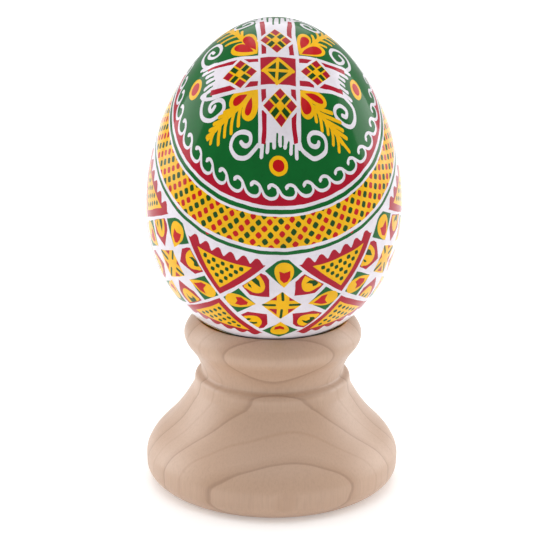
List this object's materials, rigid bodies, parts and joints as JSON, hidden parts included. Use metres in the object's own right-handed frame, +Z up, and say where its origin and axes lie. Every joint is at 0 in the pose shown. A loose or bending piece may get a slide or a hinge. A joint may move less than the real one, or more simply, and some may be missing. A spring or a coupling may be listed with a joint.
{
  "type": "decorated egg on a stand",
  "caption": "Folk-decorated blown eggshell standing upright in the dished top of a turned wooden stand with a flared foot.",
  "frame": {"origin": "centre of the stand's flat underside", "axes": "+Z up along the axis that the stand and the egg are turned about, -Y towards the front, +X to the right seen from the front"},
  "size_m": [0.0442, 0.0442, 0.0825],
  "materials": {
    "turned_wood": "pale close-grained wood, turned and sanded smooth, with a thin satin finish",
    "varnished_eggshell": "eggshell dyed white, yellow, green and crimson under clear gloss varnish"
  },
  "bodies": {
    "stand": {"turned_stand": "turned_wood"},
    "egg": {"eggshell": "varnished_eggshell"}
  },
  "joints": [
    {"name": "egg_lift", "type": "slide", "parent": "stand", "child": "egg", "axis": [0, 0, 1], "range_m": [0, 0.05]}
  ]
}
